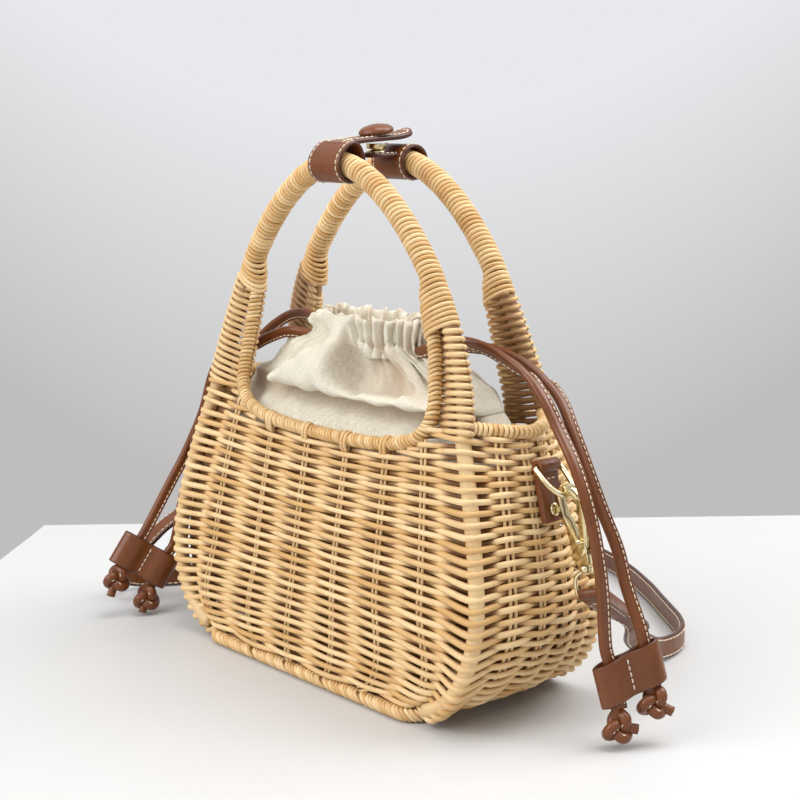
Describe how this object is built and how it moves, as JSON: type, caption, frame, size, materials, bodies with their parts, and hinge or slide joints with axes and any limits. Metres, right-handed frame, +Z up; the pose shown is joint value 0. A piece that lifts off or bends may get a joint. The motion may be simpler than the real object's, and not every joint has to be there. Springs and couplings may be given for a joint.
{
  "type": "woven cane basket bag",
  "caption": "Small boat-shaped woven cane handbag with arched wrapped handles, a snap tab, a drawstring cotton lining and a clip-on leather shoulder strap.",
  "frame": {"origin": "middle of the base on the surface that the bag stands on, under the middle of the bag and its side hardware", "axes": "+X along the bag from its left end to its right end, +Y from the front panel to the back panel, +Z up"},
  "size_m": [0.3725, 0.2953, 0.2779],
  "materials": {
    "peeled_cane": "peeled and varnished cane, plain woven and wrapped",
    "tan_leather": "smooth semi-gloss brown leather with pale stitching",
    "pale_gold_zinc": "polished pale gold plate",
    "cream_cotton": "off-white plain cotton, gathered"
  },
  "bodies": {
    "basket": {"base_panel": "peeled_cane", "base_border": "peeled_cane", "front_panel": "peeled_cane", "back_panel": "peeled_cane", "front_hoop": "peeled_cane", "back_hoop": "peeled_cane", "front_window_rod": "peeled_cane", "back_window_rod": "peeled_cane", "front_handle_wrap": "peeled_cane", "back_handle_wrap": "peeled_cane", "left_end_wall": "peeled_cane", "right_end_wall": "peeled_cane", "left_end_rim": "peeled_cane", "right_end_rim": "peeled_cane", "front_handle_sleeve": "tan_leather", "back_handle_sleeve": "tan_leather", "snap_stud": "pale_gold_zinc", "lining_bag": "cream_cotton", "left_side_tab": "tan_leather", "left_tab_rivet": "pale_gold_zinc", "left_front_drawstring": "tan_leather", "left_back_drawstring": "tan_leather", "left_front_knot": "tan_leather", "left_back_knot": "tan_leather", "right_side_tab": "tan_leather", "right_tab_rivet": "pale_gold_zinc", "right_front_drawstring": "tan_leather", "right_back_drawstring": "tan_leather", "right_front_knot": "tan_leather", "right_back_knot": "tan_leather", "shoulder_strap": "tan_leather"},
    "closure": {"closure_tab": "tan_leather", "snap_cap": "tan_leather", "snap_socket": "pale_gold_zinc"},
    "left_ring": {"left_dee_ring": "pale_gold_zinc"},
    "left_hook": {"left_snap_hook": "pale_gold_zinc", "left_gate_pin": "pale_gold_zinc"},
    "left_gate": {"left_hook_gate": "pale_gold_zinc"},
    "left_loop": {"left_strap_loop": "pale_gold_zinc", "left_strap_end": "tan_leather"},
    "right_ring": {"right_dee_ring": "pale_gold_zinc"},
    "right_hook": {"right_snap_hook": "pale_gold_zinc", "right_gate_pin": "pale_gold_zinc"},
    "right_gate": {"right_hook_gate": "pale_gold_zinc"},
    "right_loop": {"right_strap_loop": "pale_gold_zinc", "right_strap_end": "tan_leather"},
    "right_slider": {"right_cord_slider": "tan_leather"},
    "left_slider": {"left_cord_slider": "tan_leather"}
  },
  "joints": [
    {"name": "closure_tab_hinge", "type": "hinge", "parent": "basket", "child": "closure", "pos_m": [0, -0.015, 0.2719], "axis": [1, 0, 0], "range_deg": [0, 150]},
    {"name": "left_dee_ring_hinge", "type": "hinge", "parent": "basket", "child": "left_ring", "pos_m": [-0.12246, 0, 0.12591], "axis": [0, 1, 0], "range_deg": [0, 100], "deforming": ["shoulder_strap"]},
    {"name": "left_hook_swing", "type": "hinge", "parent": "left_ring", "child": "left_hook", "pos_m": [-0.13623, 0, 0.11431], "axis": [0, 1, 0], "range_deg": [0, 60], "deforming": ["shoulder_strap"]},
    {"name": "left_gate_hinge", "type": "hinge", "parent": "left_hook", "child": "left_gate", "pos_m": [-0.14347, 0.00334, 0.09153], "axis": [0.0275, 0.9903, 0.1364], "range_deg": [0, 18], "stiffness_Nm_per_rad": 0.01, "springref_deg": -17.19},
    {"name": "left_loop_swivel", "type": "hinge", "parent": "left_hook", "child": "left_loop", "pos_m": [-0.14268, 0.00459, 0.08228], "axis": [0.1955, -0.1392, 0.9708], "continuous": true, "deforming": ["shoulder_strap", "left_strap_end"]},
    {"name": "right_dee_ring_hinge", "type": "hinge", "parent": "basket", "child": "right_ring", "pos_m": [0.12246, 0, 0.12591], "axis": [0, -1, 0], "range_deg": [0, 100], "deforming": ["shoulder_strap"]},
    {"name": "right_hook_swing", "type": "hinge", "parent": "right_ring", "child": "right_hook", "pos_m": [0.13623, 0, 0.11431], "axis": [0, -1, 0], "range_deg": [0, 60], "deforming": ["shoulder_strap"]},
    {"name": "right_gate_hinge", "type": "hinge", "parent": "right_hook", "child": "right_gate", "pos_m": [0.14347, 0.00334, 0.09153], "axis": [0.0275, -0.9903, -0.1364], "range_deg": [0, 18], "stiffness_Nm_per_rad": 0.01, "springref_deg": -17.19},
    {"name": "right_loop_swivel", "type": "hinge", "parent": "right_hook", "child": "right_loop", "pos_m": [0.14268, 0.00459, 0.08228], "axis": [0.1955, 0.1392, -0.9708], "continuous": true, "deforming": ["shoulder_strap", "right_strap_end"]},
    {"name": "right_slider_slide", "type": "slide", "parent": "basket", "child": "right_slider", "axis": [-0.2399, -0.1, 0.9656], "range_m": [0, 0.02], "deforming": ["right_front_drawstring", "right_back_drawstring"]},
    {"name": "left_slider_slide", "type": "slide", "parent": "basket", "child": "left_slider", "axis": [0.1336, 0.5512, 0.8236], "range_m": [0, 0.02], "deforming": ["left_front_drawstring", "left_back_drawstring"]}
  ]
}
